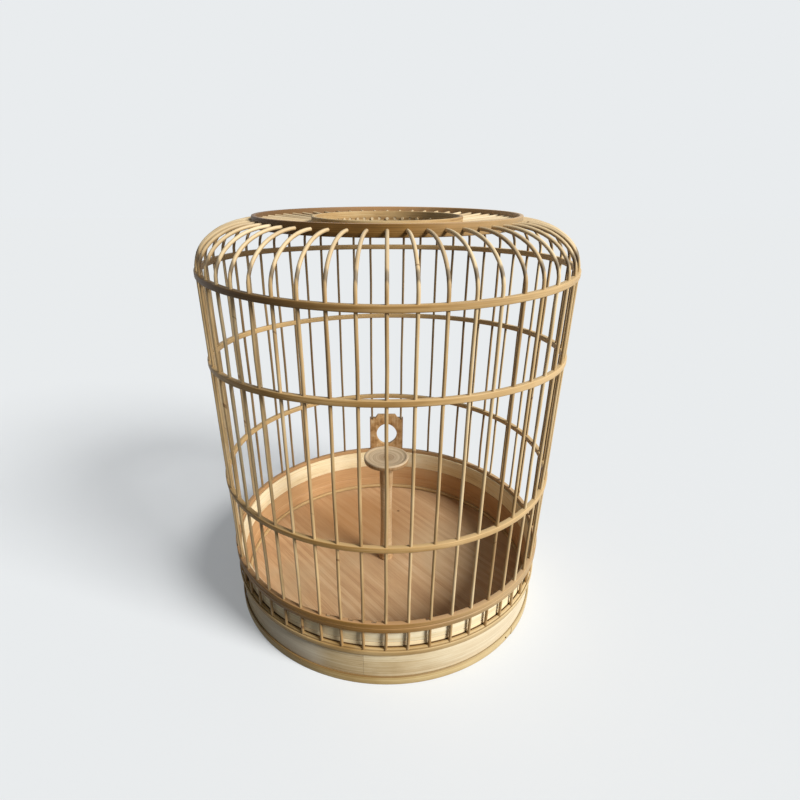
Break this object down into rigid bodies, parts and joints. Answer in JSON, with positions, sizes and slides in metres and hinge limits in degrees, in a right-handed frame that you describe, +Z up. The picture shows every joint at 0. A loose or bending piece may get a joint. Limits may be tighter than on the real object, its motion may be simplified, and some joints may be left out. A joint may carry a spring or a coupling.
{
  "type": "bamboo bird cage",
  "caption": "Round, flat-topped bamboo bird cage with an open top, a lift-off base tray, a sliding plate with a round hole and a turned standing perch.",
  "frame": {"origin": "on the cage's axis, at the level of the surface it stands on", "axes": "+Z up along the cage's axis, -Y towards the front, with the sliding plate at the back on +Y"},
  "size_m": [0.3308, 0.3308, 0.388],
  "materials": {
    "pale_bamboo": "scraped, satin",
    "honey_bamboo": "oiled skin side, satin",
    "bar_bamboo": "drawn round, satin",
    "tan_bamboo": "satin",
    "floor_bamboo": "matte strips",
    "perch_wood": "turned, matte",
    "dark_pin": "matte"
  },
  "bodies": {
    "tray": {"base_band": "pale_bamboo", "foot_ring": "honey_bamboo", "foot_pin": "dark_pin", "inner_band": "tan_bamboo", "floor_ledge": "tan_bamboo", "floor_board": "floor_bamboo", "floor_bead": "pale_bamboo", "floor_batten_front": "tan_bamboo", "floor_batten_back": "tan_bamboo"},
    "cage": {"sill_bead": "honey_bamboo", "sand_liner": "pale_bamboo", "bottom_hoop": "honey_bamboo", "lower_hoop": "honey_bamboo", "middle_hoop": "honey_bamboo", "shoulder_hoop": "honey_bamboo", "top_rim": "honey_bamboo", "top_collar": "tan_bamboo", "gate_upper_bar": "bar_bamboo", "bar_pair_01": "bar_bamboo", "bar_pair_02": "bar_bamboo", "bar_pair_03": "bar_bamboo", "bar_pair_04": "bar_bamboo", "bar_pair_05": "bar_bamboo", "bar_pair_06": "bar_bamboo", "bar_pair_07": "bar_bamboo", "bar_pair_08": "bar_bamboo", "bar_pair_09": "bar_bamboo", "bar_pair_10": "bar_bamboo", "bar_pair_11": "bar_bamboo", "bar_pair_12": "bar_bamboo", "bar_pair_13": "bar_bamboo", "bar_pair_14": "bar_bamboo", "bar_pair_15": "bar_bamboo", "bar_pair_16": "bar_bamboo", "bar_pair_17": "bar_bamboo", "bar_pair_18": "bar_bamboo", "bar_pair_19": "bar_bamboo", "bar_pair_20": "bar_bamboo", "bar_pair_21": "bar_bamboo", "bar_pair_22": "bar_bamboo", "bar_pair_23": "bar_bamboo", "bar_pair_24": "bar_bamboo", "bar_pair_25": "bar_bamboo", "bar_pair_26": "bar_bamboo"},
    "gate": {"gate_plate": "tan_bamboo"},
    "perch": {"perch_disc": "perch_wood", "perch_post": "perch_wood"}
  },
  "joints": [
    {"name": "cage_lift", "type": "slide", "parent": "tray", "child": "cage", "axis": [0, 0, 1], "range_m": [0, 0.12]},
    {"name": "gate_slide", "type": "slide", "parent": "cage", "child": "gate", "axis": [0, 0, 1], "range_m": [0, 0.022]},
    {"name": "perch_lift", "type": "slide", "parent": "tray", "child": "perch", "axis": [0, 0, 1], "range_m": [0, 0.02]}
  ]
}
